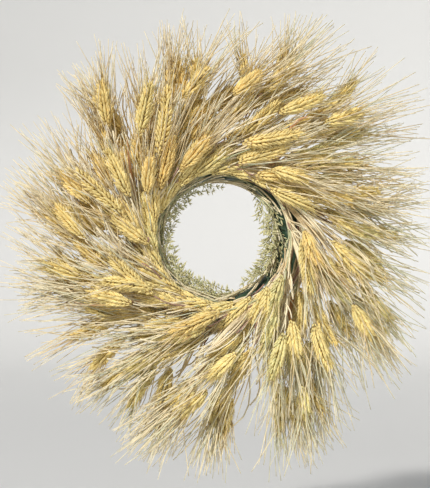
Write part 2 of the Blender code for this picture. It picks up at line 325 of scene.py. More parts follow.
def readMark(tree, mark):
    # a value that each point of the mesh holds
    return addNode(tree, "Attribute", {}, attribute_name=mark).outputs["Fac"]


def newGroup(name, inputs, outputs):
    # a node group whose inputs are colours, vectors or numbers, after their first values
    group = bpy.data.node_groups.new(name, "ShaderNodeTree")
    for label, value in inputs.items():
        kind = {4: "Color", 3: "Vector"}[len(value)] if isinstance(value, tuple) else "Float"
        socket = group.interface.new_socket(label, in_out="INPUT", socket_type="NodeSocket" + kind)
        socket.default_value = value
    for label, kind in outputs.items():
        group.interface.new_socket(label, in_out="OUTPUT", socket_type="NodeSocket" + kind)
    return group, group.nodes.new("NodeGroupInput").outputs, group.nodes.new("NodeGroupOutput")


dryRanges = {  # of a value: from, to, and what these become
    "deep": (0.25, 0.85), "green": (0.2, 0.0), "tip": (0.5, 1.0, 0.0, 0.75), "foot": (0.85, 0.0),
    "blotches": (0.3, 0.7, 0.82, 1.14), "fibres": (0.3, 0.7, 0.88, 1.1),
    "blotchScale": 60.0, "blotchDetail": 3.0, "fibreDetail": 2.0,
}


def makeDryToneGroup():
    # colour of one dried stalk: light to deep by its tint, green at the lowest tints, pale at the
    # tip and dark at the foot, with fine blotches and fibres
    group, given, out = newGroup("dryTone", {
        "Light Color": rgba(0.8, 0.66, 0.36), "Deep Color": rgba(0.6, 0.4, 0.15),
        "Green Color": rgba(0.5, 0.5, 0.25), "Foot Color": rgba(0.4, 0.25, 0.1),
        "Tip Color": rgba(0.85, 0.75, 0.5), "Tint": 0.5, "Along": 0.5, "Foot": 0.3,
        "Fibre Scale": 900.0,
    }, {"Color": "Color", "Fibre": "Float"})
    place = addNode(group, "TexCoord", {}).outputs["Object"]
    blotch = noise(group, place, dryRanges["blotchScale"], dryRanges["blotchDetail"])
    fibre = noise(group, place, given["Fibre Scale"], dryRanges["fibreDetail"])
    deepness = mapRange(group, given["Tint"], *dryRanges["deep"])
    color = mixColor(group, deepness, given["Light Color"], given["Deep Color"])
    greenness = mapRange(group, given["Tint"], *dryRanges["green"])
    color = mixColor(group, greenness, color, given["Green Color"])
    tipness = mapRange(group, given["Along"], *dryRanges["tip"])
    color = mixColor(group, tipness, color, given["Tip Color"])
    footness = mapRange(group, given["Along"], 0.0, given["Foot"], *dryRanges["foot"])
    color = mixColor(group, footness, color, given["Foot Color"])
    mottled = mapRange(group, blotch, *dryRanges["blotches"])
    streaked = mapRange(group, fibre, *dryRanges["fibres"])
    both = addNode(group, "Math", {0: mottled, 1: streaked}, operation="MULTIPLY").outputs[0]
    shaded = addNode(group, "VectorMath", {0: color, 3: both}, operation="SCALE").outputs[0]
    fillInputs(group, out, {"Color": shaded, "Fibre": fibre})
    return group


speckleForm = {"detail": 5.0, "full": 0.75}


def makeSpeckleGroup():
    # two colours in speckles, with the mask that parts them
    group, given, out = newGroup("speckled", {
        "Main Color": rgba(0.5, 0.5, 0.5), "Speckle Color": rgba(0.2, 0.2, 0.2),
        "Scale": 300.0, "Stretch": (1.0, 1.0, 1.0), "Threshold": 0.5,
    }, {"Color": "Color", "Mask": "Float"})
    place = addNode(group, "TexCoord", {}).outputs["Object"]
    stretched = addNode(group, "VectorMath", {0: place, 1: given["Stretch"]}, operation="MULTIPLY")
    speckle = noise(group, stretched.outputs[0], given["Scale"], speckleForm["detail"])
    mask = mapRange(group, speckle, given["Threshold"], speckleForm["full"])
    color = mixColor(group, mask, given["Main Color"], given["Speckle Color"])
    fillInputs(group, out, {"Color": color, "Mask": mask})
    return group


dryTone = makeDryToneGroup()
speckled = makeSpeckleGroup()


def newMaterial(name):
    # a material, its node tree and its shader
    material = bpy.data.materials.new(name)
    material.use_nodes = True
    return material, material.node_tree, material.node_tree.nodes["Principled BSDF"]


def shadeWith(tree, shader, color, grain, relief, look):
    # colour as given; roughness and relief follow the grain
    rough = mapRange(tree, grain, relief["from"], relief["to"], *look["roughness"])
    bump = addNode(tree, "Bump", {"Strength": look["bump"], "Distance": relief["height"],
                                  "Height": grain})
    fillInputs(tree, shader, {"Base Color": color, "Roughness": rough,
                              "Normal": bump.outputs["Normal"]})


dryRelief = {"from": 0.3, "to": 0.7, "height": 0.0004}
hardRelief = {"from": 0.0, "to": 1.0, "height": 0.0005}


def dryMaterial(name, look):
    # a dried plant, toned by its mesh's tint and length; each kind of stalk has its own colour
    material, tree, shader = newMaterial(name)
    marks = {"Tint": readMark(tree, "tint"), "Along": readMark(tree, "along")}
    tone = addNode(tree, "Group", {}, node_tree=dryTone)
    fillInputs(tree, tone, {**look["tone"], **marks})
    color = tone.outputs["Color"]
    for low, high, tinted in look.get("kinds", ()):
        share = mapRange(tree, readMark(tree, "kind"), low, high)
        color = mixColor(tree, share, color, tinted)
    shadeWith(tree, shader, color, tone.outputs["Fibre"], dryRelief, look)
    shader.inputs["Specular IOR Level"].default_value = look["specular"]
    return material


def speckledMaterial(name, look):
    # a hard finish in two colours, rougher or smoother in its speckles
    material, tree, shader = newMaterial(name)
    speckle = addNode(tree, "Group", {}, node_tree=speckled)
    fillInputs(tree, speckle, look["speckle"])
    color, mask = speckle.outputs["Color"], speckle.outputs["Mask"]
    shadeWith(tree, shader, color, mask, hardRelief, look)
    shader.inputs["Metallic"].default_value = look["metallic"]
    return material


earLook = {
    "tone": {"Light Color": rgba(0.91, 0.75, 0.31), "Deep Color": rgba(0.88, 0.61, 0.20),
             "Green Color": rgba(0.76, 0.72, 0.34), "Foot Color": rgba(0.50, 0.29, 0.08),
             "Tip Color": rgba(0.95, 0.80, 0.40), "Foot": 0.34, "Fibre Scale": 900.0},
    "roughness": (0.48, 0.66), "bump": 0.35, "specular": 0.35,
}
strawLook = {
    "tone": {"Light Color": rgba(0.96, 0.84, 0.56), "Deep Color": rgba(0.79, 0.60, 0.32),
             "Green Color": rgba(0.70, 0.69, 0.48), "Foot Color": rgba(0.68, 0.49, 0.25),
             "Tip Color": rgba(0.96, 0.86, 0.62), "Foot": 0.15, "Fibre Scale": 700.0},
    "kinds": [(0.4, 0.6, rgba(0.40, 0.24, 0.18)), (1.4, 1.6, rgba(0.84, 0.47, 0.25)),
              (2.4, 2.6, rgba(0.50, 0.51, 0.30))],  # kind 1 mauve brown, 2 peach, 3 green
    "roughness": (0.38, 0.60), "bump": 0.3, "specular": 0.45,
}
grassLook = {
    "tone": {"Light Color": rgba(0.68, 0.64, 0.36), "Deep Color": rgba(0.54, 0.50, 0.25),
             "Green Color": rgba(0.44, 0.48, 0.24), "Foot Color": rgba(0.36, 0.33, 0.16),
             "Tip Color": rgba(0.84, 0.77, 0.48), "Foot": 0.3, "Fibre Scale": 1100.0},
    "roughness": (0.55, 0.75), "bump": 0.3, "specular": 0.3,
}
hardLooks = {
    "straw_form": {
        "speckle": {"Main Color": rgba(0.60, 0.44, 0.20), "Speckle Color": rgba(0.34, 0.22, 0.08),
                    "Scale": 260.0, "Threshold": 0.40, "Stretch": (1.0, 0.3, 1.0)},
        "roughness": (0.75, 0.74), "metallic": 0.0, "bump": 0.9},
    "binding_wire": {
        "speckle": {"Main Color": rgba(0.035, 0.070, 0.035),
                    "Speckle Color": rgba(0.20, 0.20, 0.17), "Scale": 700.0, "Threshold": 0.58},
        "roughness": (0.35, 0.55), "metallic": 0.0, "bump": 0.3},
    "hanger_pin": {
        "speckle": {"Main Color": rgba(0.56, 0.57, 0.58), "Speckle Color": rgba(0.34, 0.33, 0.31),
                    "Scale": 900.0, "Threshold": 0.48},
        "roughness": (0.28, 0.55), "metallic": 1.0, "bump": 0.25},
}
hardLooks["hanger_ring"] = hardLooks["hanger_pin"]
filmLook = {
    "speckle": {"Main Color": rgba(0.036, 0.074, 0.040),
                "Speckle Color": rgba(0.110, 0.160, 0.110), "Scale": 90.0,
                "Threshold": 0.45, "Stretch": (1.0, 2.2, 1.0)},
    "roughness": (0.30, 0.46), "metallic": 0.0, "bump": 0.35,
}
earMaterial = dryMaterial("wheatHead", earLook)
strawMaterial = dryMaterial("wheatStraw", strawLook)
grassMaterial = dryMaterial("driedGrass", grassLook)
for node, look in hardLooks.items():
    finish = speckledMaterial(f"finish_{node}", look)
    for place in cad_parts[node].material_slots:
        place.material = finish
filmMaterial = speckledMaterial("greenFilm", filmLook)
print("materials made")


stations = 12
stationTurn = 360.0 / stations
lineFit = {"slices": 11, "grassSlices": 6, "slack": 1e-6, "laid": 2.02}


def nodePoints(node):
    # the corners of a CAD node's mesh
    return np.array([v.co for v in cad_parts[node].data.vertices])


def sliceMeans(spread, slices, *others):
    # means of the spread values and of the others in equal slices of the spread's range
    edges, slack = np.linspace(spread.min(), spread.max(), slices + 1), lineFit["slack"]
    inside = [(spread >= low - slack) & (spread <= high + slack)
              for low, high in zip(edges[:-1], edges[1:])]
    return np.array([[values[i].mean() for i in inside if i.any()]
                     for values in (spread, *others)])


def bunchLine(node):
    # the clock angle of a bunch over radius, and the seat of its tied stems: the ring of points
    # with the smallest radius stands across the stems
    radius, clock, depth = fromWreath(nodePoints(node))
    turn = np.exp(1j * np.radians(clock))
    middle, mean = sliceMeans(radius, lineFit["slices"], turn)
    clock = np.degrees(np.unwrap(np.angle(mean)))
    laid = radius < radius.min() + lineFit["laid"] * wreath["stemHalf"]
    seatClock = np.degrees(np.angle(turn[laid].mean()))
    seatClock += 360 * round((clock[0] - seatClock) / 360)
    return {"radius": middle.real, "clock": clock, "reach": radius.max(), "seatClock": seatClock,
            "seatRadius": 0.5 * (radius[laid].min() + radius[laid].max()),
            "seatDepth": 0.5 * (depth[laid].min() + depth[laid].max())}


# base is the radius of the heads' feet, spread their room aside, and leanTurn the scatter of
# their lean in degrees
rows = {
    "back": {"ears": 5, "awns": 18, "base": (0.166, 0.218), "spread": 0.044,
             "depth": (0.016, 0.034), "leanTurn": 10},
    "middle": {"ears": 3, "awns": 11, "base": (0.132, 0.172), "spread": 0.027,
               "depth": (0.042, 0.064), "leanTurn": 7},
    "front": {"ears": 2, "awns": 10, "base": (0.098, 0.132), "spread": 0.016,
              "depth": (0.066, 0.090), "leanTurn": 5},
}
planting = {"usualReach": 0.322, "reachShare": 0.8, "asideScatter": 0.25, "ahead": 0.01,
            "asideLean": 6, "bareClocks": (50, 108), "bareRadius": 0.119, "tintScatter": 0.13,
            "tints": (0.05, 0.95), "backTier": 0.20, "middleTier": 0.15,
            "innerTier": 0.105, "tieBehind": 12}
usualTint = {"middle": 0.37, "swing": 0.18, "from": 310}
ear = {"length": (0.060, 0.082), "nodes": 27, "foot": 0.01, "span": 0.93, "seedLength": 0.0136,
       "seedWide": 0.0027, "seedDeep": 0.0023, "offAxis": 0.0034, "deepAxis": 0.0040,
       "leanSide": 31, "leanFace": 13, "fanSide": 12, "fanFace": 19, "leanFall": 0.5,
       "fanFall": 0.4, "scatter": 3.5, "young": 0.42, "fullAt": 0.24, "taper": 0.36,
       "taperFrom": 0.55, "faceAside": 0.35, "sideDeep": 0.4, "growth": (0.88, 1.12),
       "tintScatter": 0.07, "awnAt": 0.93, "lowOdds": 0.06}
bristle = {"each": 64, "length": (0.009, 0.026), "steps": 3, "sides": 3, "root": 0.00046,
           "tip": 0.00022, "scatter": 0.10, "closing": 0.5, "sunk": 0.003}
awn = {"length": (0.064, 0.106), "steps": 6, "sides": 3, "root": 0.00094, "tip": 0.00062,
       "fanBroad": 12.5, "fanDeep": 8.0, "turnWithin": 0.010, "seedShare": 0.25, "bend": 0.25,
       "past": (-0.030, 0.013), "shortest": 0.3, "beyond": 0.018, "bushier": 0.5,
       "fewest": 320, "thick": (0.8, 1.15), "tint": (-0.04, 0.24)}
head = {"forward": (0.06, 0.07), "roll": 0.75, "curl": (-0.10, 0.12), "lift": (-0.06, 0.08),
        "outside": 0.062, "reachShare": (0.75, 1.15), "pastReach": 0.004}
stem = {"steps": 18, "laid": 6, "sides": 6, "foot": 0.00125, "neck": 0.00085,
        "tail": (0.014, 0.036), "darkShare": 0.25}
tie = {"room": 0.0042, "past": 0.012, "behind": 0.016, "hold": 0.40}

# heads picked out on the front: clock of the foot, its radius in mm, lean from straight out,
# length and depth in mm, and tint in hundredths
pickedHeads = [
    (314.5, 226, 42, 70, 63, 50), (321, 183, 52, 83, 91, 30), (322, 144, 56, 104, 96, 40),
    (345.5, 207, 56, 58, 73, 50), (5, 206, 54, 52, 79, 62), (16.5, 219, 34, 58, 63, 45),
    (25, 197, 50, 72, 87, 35), (42, 224, 41, 58, 69, 35), (12.5, 138, 73, 92, 98, 45),
    (37, 123, 69, 54, 94, 42), (294, 138, 40, 78, 96, 40), (280.5, 134, 40, 104, 88, 38),
    (284.5, 190, 37, 60, 83, 62), (269, 192, 55, 66, 81, 45), (301, 120, 65, 52, 94, 62),
    (253, 200, 37, 64, 73, 36), (228.5, 124, 77, 88, 94, 36), (232.5, 154, 53, 68, 99, 36),
    (84.5, 122, 80, 50, 92, 62), (138, 154, 36, 58, 100, 28), (131.5, 181, 41, 70, 93, 28),
    (150.5, 244, 23, 50, 63, 10), (145, 162, 48, 72, 100, 8), (116, 213, 40, 56, 83, 28),
    (184, 218, 43, 58, 75, 28), (171, 164, 53, 54, 100, 28), (352, 95, 84, 70, 64, 30),
    (318, 94, 82, 78, 66, 34), (336, 96, 80, 70, 70, 20), (304, 94, 84, 72, 62, 30),
    (268, 94, 82, 70, 62, 20), (282, 95, 80, 72, 68, 40), (254, 93, 84, 70, 60, 16),
    (226, 95, 82, 70, 64, 30), (212, 95, 84, 72, 64, 30), (198, 94, 82, 66, 60, 40),
    (184, 95, 82, 68, 62, 28), (150, 98, 78, 66, 66, 30), (28, 98, 78, 66, 66, 24),
    (292, 93, 86, 66, 58, 24), (240, 94, 84, 68, 62, 24), (166, 96, 82, 62, 64, 20),
    (8, 96, 82, 60, 60, 36), (134, 100, 76, 60, 66, 20), (9, 186, 48, 70, 42, 35),
    (24, 170, 52, 72, 46, 35), (2, 166, 50, 70, 46, 40), (36, 192, 50, 70, 42, 30),
    (74, 158, 52, 70, 50, 25), (218, 140, 56, 70, 54, 35), (99, 160, 48, 68, 46, 25),
    (338, 170, 46, 70, 44, 42), (326, 124, 50, 68, 50, 42),
]


def meanTint(clock):
    # golden towards the upper left, greener towards the lower right
    away = np.radians(clock - usualTint["from"])
    return usualTint["middle"] + usualTint["swing"] * np.cos(away)


def awnCount(row, station):
    # fewest awns towards the upper left, up to 1 + bushier times as many opposite
    away = 0.5 - 0.5 * math.cos(math.radians(station * stationTurn - awn["fewest"]))
    return round(row["awns"] * (1 + awn["bushier"] * away))


def stalkPlan():
    # every head: row, station, then clock, foot radius, lean, length, depth and tint; scattered
    # ones stand about their bunch's line and lean with it
    lines = {(r, s): bunchLine(f"{r}_wheat_{s + 1:02d}") for r in rows for s in range(stations)}
    plan = []
    for (rowName, station), line in lines.items():
        row = rows[rowName]
        n = row["ears"]
        radius = draw(row["base"], n)
        if rowName == "back":
            radius += (line["reach"] - planting["usualReach"]) * planting["reachShare"]
        aside = np.linspace(-1, 1, n) + rng.normal(0, planting["asideScatter"], n)
        aside = aside * row["spread"]
        clock = np.interp(radius, line["radius"], line["clock"])
        ahead = np.interp(radius + planting["ahead"], line["radius"], line["clock"])
        lean = np.degrees(np.arctan2(np.radians(ahead - clock) * radius, planting["ahead"]))
        clock = clock + np.degrees(aside / radius)
        lean = lean + rng.normal(0, row["leanTurn"], n)
        lean = lean + aside / row["spread"] * planting["asideLean"]
        low, high = planting["bareClocks"]
        bare = (rowName == "front") & (clock % 360 > low) & (clock % 360 < high)
        radius = np.where(bare, np.maximum(radius, planting["bareRadius"]), radius)
        depth = draw(row["depth"], n)
        length = draw(ear["length"], n)
        tint = rng.normal(0, planting["tintScatter"], n) + meanTint(clock)
        tint = np.clip(tint, *planting["tints"])
        plan += [(rowName, station, *each)
                 for each in zip(clock, radius, lean, length, depth, tint)]
    for picked in np.array(pickedHeads) / [1, 1000, 1, 1000, 1000, 100]:
        clock, radius = picked[:2]
        rowName = "front"
        if radius > planting["middleTier"]:
            rowName = "back" if radius > planting["backTier"] else "middle"
        at = [np.interp(radius, lines[(rowName, s)]["radius"], lines[(rowName, s)]["clock"])
              for s in range(stations)]
        nearest = np.argmin(np.abs((clock - np.array(at) + 180) % 360 - 180))
        if radius < planting["innerTier"]:
            nearest = np.argmin([(clock - lines[(rowName, s)]["seatClock"]
                                  - planting["tieBehind"]) % 360 for s in range(stations)])
        plan.append((rowName, int(nearest), *picked))
    return plan, lines


def earShape(foot, way, length, roll, curl, lift, tint):
    # the axis is foot + length (t way + curl t^2 side / 2 + lift t^2 front / 2); spikelets stand
    # on it left and right in turn, each with two seeds that lean out at the side and two that
    # lie over the middle at the front and at the back, all overlapping upwards
    n = len(foot)
    side = unit(np.cross(way, front))
    k = np.arange(ear["nodes"])[None, :, None, None]
    t = ear["foot"] + ear["span"] * (k + 0.5) / ear["nodes"]
    hand = np.where(k % 2 == 0, 1.0, -1.0)
    lateral = np.array([True, True, False, False])[None, None, :, None]
    face = np.array([-1.0, 1.0, -1.0, 1.0])[None, None, :, None]
    foot, way, side = foot[:, None, None], way[:, None, None], side[:, None, None]
    length, roll, curl, lift = (v[:, None, None, None] for v in (length, roll, curl, lift))
    axis = foot + length * (t * way + 0.5 * t**2 * (curl * side + lift * front))
    along = unit(way + t * (curl * side + lift * front))
    first = unit(np.cross(along, front))
    broad = np.cos(roll) * first + np.sin(roll) * np.cross(along, first)
    deep = np.cross(along, broad)
    size = ear["young"] + (1 - ear["young"]) * smoothStep(t / ear["fullAt"])
    size = size * (1 - ear["taper"] * smoothStep((t - ear["taperFrom"]) / (1 - ear["taperFrom"])))
    full = (n, ear["nodes"], 4, 1)
    leanOut = np.where(lateral, ear["leanSide"], ear["leanFace"]) * (1 - ear["leanFall"] * t**3)
    fanOut = np.where(lateral, ear["fanSide"], ear["fanFace"]) * (1 - ear["fanFall"] * t**3)
    lean = np.radians(leanOut + rng.normal(0, ear["scatter"], full))
    fan = np.radians(fanOut * face + rng.normal(0, ear["scatter"], full))
    z = unit(along + hand * broad * np.tan(lean) + deep * np.tan(fan))
    sideways = np.where(lateral, 1.0, ear["faceAside"]) * ear["offAxis"]
    deepways = np.where(lateral, ear["sideDeep"], 1.0) * ear["deepAxis"]
    origin = axis + size * (hand * broad * sideways + deep * face * deepways)
    z, origin, along, broad, deep = (np.broadcast_to(v, (*full[:3], 3)).reshape(-1, 3)
                                     for v in (z, origin, along, broad, deep))
    grown = (draw(ear["growth"], *full) * size).reshape(-1, 1)
    sizes = grown * np.array([[ear["seedWide"], ear["seedDeep"], ear["seedLength"]]])
    seedTint = np.repeat(tint, ear["nodes"] * 4) + rng.normal(0, ear["tintScatter"], len(z))
    facing = np.where(np.broadcast_to(lateral, full).reshape(-1, 1), broad, deep)
    seeds = scatter(seedMesh, origin, np.cross(facing, z), z, sizes, tint=seedTint, kind=0.0)
    odds = np.repeat(ear["lowOdds"] + (np.arange(ear["nodes"]) + 0.5) / ear["nodes"], 4)
    return seeds, {"odds": odds / odds.sum(), "tips": origin + z * sizes[:, 2:3] * ear["awnAt"],
                   "along": along, "broad": broad, "deep": deep, "way": z, "tint": seedTint,
                   "head": np.repeat(np.arange(n), ear["nodes"] * 4)}


def pickRoots(roots, each, odds=None):
    # the same number of seeds on every head, by their odds
    return np.concatenate([
        rng.choice(np.flatnonzero(roots["head"] == h), each, replace=False, p=odds)
        for h in range(roots["head"].max() + 1)])


def bristleShape(roots):
    # short awns that hug the head: nearly straight, between the seed's way and the head's
    keep = pickRoots(roots, bristle["each"])
    n = len(keep)
    along, broad, deep, way, tips = (roots[name][keep]
                                     for name in ("along", "broad", "deep", "way", "tips"))
    own = (1.0 * (way - along) + broad * rng.normal(0, bristle["scatter"], (n, 1))
           + deep * rng.normal(0, bristle["scatter"], (n, 1)))
    length = draw(bristle["length"], n, 1, 1)
    t = np.linspace(0, 1, bristle["steps"])[None, :, None]
    ways = (along + own)[:, None] - bristle["closing"] * t * own[:, None]
    paths = settle((tips - way * bristle["sunk"])[:, None] + t * length * ways)
    thick = bristle["root"] + (bristle["tip"] - bristle["root"]) * t[..., 0]
    return sweep(paths, thick, thick, bristle["sides"], tint=roots["tint"][keep], kind=0.0)


def awnShape(roots, each, reachShare, limit):
    # each awn leaves its seed along the seed and bends forwards within a centimetre: its way is
    # the head's way plus a side way that goes from the seed's to its own, w1 + (w0 - w1) e^(-s/d);
    # it is drawn shorter where it would pass its limit or the room beside the CAD box
    keep = pickRoots(roots, each, roots["odds"])
    n = len(keep)
    length = draw(awn["length"], n) * reachShare[roots["head"][keep]]
    s = np.linspace(0, 1, awn["steps"])[None, :, None] * length[:, None, None]
    fade = np.exp(-s / awn["turnWithin"])
    along, broad, deep, way, tips = (roots[name][keep][:, None]
                                     for name in ("along", "broad", "deep", "way", "tips"))
    apart = way - along
    own = (awn["seedShare"] * apart
           + broad * np.tan(np.radians(rng.normal(0, awn["fanBroad"], (n, 1, 1))))
           + deep * np.tan(np.radians(rng.normal(0, awn["fanDeep"], (n, 1, 1)))))
    bend = (broad * rng.normal(0, awn["bend"], (n, 1, 1))
            + deep * rng.normal(0, awn["bend"], (n, 1, 1)))
    ways = unit(along + own + (apart - own) * fade + bend * s)
    step = (length / (awn["steps"] - 1))[:, None, None]
    run = np.cumsum(0.5 * (ways[:, 1:] + ways[:, :-1]), 1)
    run = np.concatenate([np.zeros((n, 1, 3)), run], 1) * step
    endRadius = fromWreath(tips[:, 0] + run[:, -1])[0]
    rootRadius = fromWreath(tips[:, 0])[0]
    limit = limit + draw(awn["past"], n)
    share = (limit - rootRadius) / np.maximum(endRadius - rootRadius, 1e-4)
    share = np.clip(share, awn["shortest"], 1.0)
    room = np.where(run[:, -1] > 0, cadBox[1] + awn["beyond"] - tips[:, 0],
                    cadBox[0] - awn["beyond"] - tips[:, 0])[:, [0, 2]]
    share = np.minimum(share, (room / (run[:, -1, [0, 2]] + 1e-9)).min(-1))
    paths = settle(tips + run * share[:, None, None])
    thick = awn["root"] + (awn["tip"] - awn["root"]) * np.linspace(0, 1, awn["steps"])[None]
    thick = thick * draw(awn["thick"], n, 1)
    tint = np.clip(roots["tint"][keep] + rng.normal(*awn["tint"], n), 0, 1)
    return sweep(paths, thick, thick, awn["sides"], tint=tint, kind=0.0)


def inSeat(line, n):
    # places inside the tied handful: offsets in radius and depth, evenly over a disc
    r = tie["room"] * np.sqrt(rng.uniform(0, 1, n))
    a = rng.uniform(0, 2 * math.pi, n)
    return line["seatRadius"] + r * np.cos(a), line["seatDepth"] + r * np.sin(a)


def stalkPaths(line, foot, way, steps, laid, tail):
    # a laid arc along the form through the tied handful, then a cubic to the foot; the arc ends
    # a little way behind the foot, so no stem turns back
    radius, depth = inSeat(line, len(foot))
    footClock = fromWreath(foot)[1]
    footClock = line["seatClock"] + (footClock - line["seatClock"] + 180) % 360 - 180
    after = np.minimum(line["seatClock"] + np.degrees(tie["past"] / radius),
                       footClock - np.degrees(tie["behind"] / radius))
    before = np.minimum(line["seatClock"], after) - np.degrees(tail / radius)
    t = np.linspace(0, 1, laid)[None]
    clock = before[:, None] + (after - before)[:, None] * t
    arc = onWreath(radius[:, None], clock, depth[:, None])
    rest = bezier(arc[:, -1], outwards(after, 90.0), foot, way, tie["hold"], steps - laid + 1)
    return settle(np.concatenate([arc, rest[:, 1:]], 1))


def pickKinds(n, shares):
    # plain, mauve brown and green straws by their shares
    return rng.choice([0.0, 1.0, 3.0], n, p=shares)


seedMesh = seedTemplate(6, 3)
looseStraw = {"each": 14, "steps": 14, "laid": 5, "sides": 5, "foot": 0.0012, "narrowing": 0.85,
              "share": (0.45, 0.84), "aside": 0.7, "lean": (34, 70), "tail": (0.012, 0.034),
              "kinds": (0.62, 0.22, 0.16), "tintedBelow": 0.62, "tint": (0.1, 0.9)}


def bunchStraws(row, line):
    # straws without heads in the tied handful, which leave the form in the bunch
    n = looseStraw["each"]
    share = draw(looseStraw["share"], n)
    radius = share * line["reach"]
    aside = np.degrees(rng.normal(0, row["spread"] * looseStraw["aside"], n) / radius)
    clock = np.interp(radius, line["radius"], line["clock"]) + aside
    foot = onWreath(radius, clock, draw(row["depth"], n))
    way = outwards(clock, draw(looseStraw["lean"], n))
    paths = stalkPaths(line, foot, way, looseStraw["steps"], looseStraw["laid"],
                       draw(looseStraw["tail"], n))
    kind = pickKinds(n, looseStraw["kinds"]) * (share < looseStraw["tintedBelow"])
    thick = looseStraw["foot"]
    return sweep(paths, thick, thick * looseStraw["narrowing"], looseStraw["sides"],
                 tint=draw(looseStraw["tint"], n), kind=kind)


ringStraw = {"each": 11, "steps": 12, "sides": 5, "thick": 0.00125, "flatness": 0.8,
             "radius": (0.0895, 0.127), "span": (26, 56), "before": 0.3, "drift": (-0.003, 0.018),
             "wave": 0.0020, "waves": (2, 8), "section": 0.0222, "proud": 0.0015,
             "shoulder": 0.018, "lift": (0.000, 0.008), "rise": (0, 0.010),
             "bareClocks": (50, 112), "bareRadius": 0.118, "bareFrom": 0.090, "bareShare": 0.3,
             "kinds": (0.66, 0.16, 0.18), "tint": (0.05, 0.8)}


def ringStraws(station):
    # straws that lie along the form over its front: depth = that of the round section at their
    # radius, and a little more where they cross
    look = ringStraw
    n = look["each"]
    radius = draw(look["radius"], n)
    clock = (station + rng.uniform(-0.5, 0.5, n)) * stationTurn
    low, high = look["bareClocks"]
    bare = (radius < look["bareRadius"]) & (clock > low) & (clock < high)
    moved = look["bareRadius"] + look["bareShare"] * (radius - look["bareFrom"])
    radius = np.where(bare, moved, radius)
    t = np.linspace(0, 1, look["steps"])[None]
    span = draw(look["span"], n, 1)
    drift = draw(look["drift"], n, 1) * t**2
    wave = rng.normal(0, look["wave"], (n, 1))
    drift = drift + wave * np.sin(draw(look["waves"], n, 1) * t)
    r = radius[:, None] + drift
    out = np.clip(np.abs(r - wreath["ringRadius"]) / look["section"], 0, 0.999)
    over = wreath["sectionDepth"] + look["section"] * np.sqrt(1 - out**2) + look["proud"]
    outside = r > wreath["ringRadius"] + look["shoulder"]
    over = np.where(outside, wreath["sectionDepth"] + look["shoulder"], over)
    lifted = draw(look["lift"], n, 1) + draw(look["rise"], n, 1) * t**2
    paths = onWreath(r, clock[:, None] + span * (t - look["before"]), over + lifted)
    kind = pickKinds(n, look["kinds"])
    return sweep(paths, look["thick"], look["thick"] * look["flatness"], look["sides"],
                 tint=draw(look["tint"], n), kind=kind)


innerStem = {"each": 9, "steps": 12, "sides": 5, "thick": 0.75, "tieClock": 6.5, "radius": 0.0838,
             "depth": 0.0262, "bundle": (0.0004, 0.0026), "before": (8, 16), "after": (18, 34),
             "outwards": (-0.004, 0.040), "forwards": (0.014, 0.060), "curve": 1.4,
             "perTurn": 60, "kinds": (0.8, 0.0, 0.2), "tint": (0, 0.5)}


def innerStems(station):
    # short stems tied at the inner side of the form: past the tie they leave it by out p^curve
    # in radius and forwards p in depth, with p the clock angle past the tie over perTurn
    look = innerStem
    n = look["each"]
    clock = station * stationTurn + look["tieClock"]
    a = rng.uniform(0, 2 * math.pi, n)[:, None]
    off = draw(look["bundle"], n)[:, None]
    t = np.linspace(0, 1, look["steps"])[None]
    low, high = draw(look["before"], n, 1), draw(look["after"], n, 1)
    clocks = clock - low + (low + high) * t
    past = np.clip(clocks - clock, 0, None) / look["perTurn"]
    radius = look["radius"] + off * np.cos(a)
    radius = radius + draw(look["outwards"], n, 1) * past**look["curve"]
    depth = look["depth"] + off * np.sin(a) + draw(look["forwards"], n, 1) * past
    thick = ringStraw["thick"] * look["thick"]
    return sweep(onWreath(radius, clocks, depth), thick, thick, look["sides"],
                 tint=draw(look["tint"], n), kind=pickKinds(n, look["kinds"]))


chordStem = {"stations": (7, 8, 9, 10, 11), "each": 9, "steps": 10, "sides": 4, "aside": (-14, 14),
             "span": (34, 58), "ends": (0.0895, 0.1010), "depth": (0.036, 0.056),
             "drift": (0.0, 0.014), "foot": 0.0010, "narrowing": 0.0006,
             "kinds": (0.6, 0.0, 0.4), "tint": (0.05, 0.6)}


def chordStems(station):
    # long straight stems that cut across the inner edge at the left: a chord of the circle,
    # r cos(half its span) / cos(clock - middle)
    look = chordStem
    n = look["each"]
    middle = station * stationTurn + draw(look["aside"], n, 1)
    span = draw(look["span"], n, 1)
    t = np.linspace(0, 1, look["steps"])[None]
    clocks = middle + span * (t - 0.5)
    ends = draw(look["ends"], n, 1)
    radius = ends * np.cos(np.radians(span / 2)) / np.cos(np.radians(clocks - middle))
    radius = radius + draw(look["drift"], n, 1) * t
    depth = draw(look["depth"], n, 1) + draw(look["drift"], n, 1) * t
    thick = (look["foot"] - look["narrowing"] * t) + np.zeros((n, 1))
    return sweep(onWreath(radius, clocks, depth), thick, thick, look["sides"],
                 tint=draw(look["tint"], n), kind=pickKinds(n, look["kinds"]))


leaf = {"each": 2, "steps": 14, "laid": 4, "sides": 6, "wide": 0.0032, "thick": 0.00022,
        "stem": 0.0006, "reach": (0.58, 0.84), "aside": 6, "lean": (38, 9),
        "tail": (0.004, 0.010), "from": 0.25, "peachWide": 1.25, "wideShare": (0.6, 1.1),
        "roll": 0.7, "twist": 2.0, "tint": (0.2, 0.8)}
# flag leaves with a peach tint: row, station, clock and radius of the tip, depth and lean
peachLeaves = [
    ("middle", 7, 246.0, 0.226, 0.092, 40), ("middle", 6, 200.0, 0.158, 0.094, 42),
    ("middle", 3, 112.0, 0.200, 0.092, 44), ("middle", 1, 36.0, 0.214, 0.090, 44),
    ("middle", 9, 318.0, 0.196, 0.088, 40), ("back", 4, 152.0, 0.230, 0.060, 30),
]


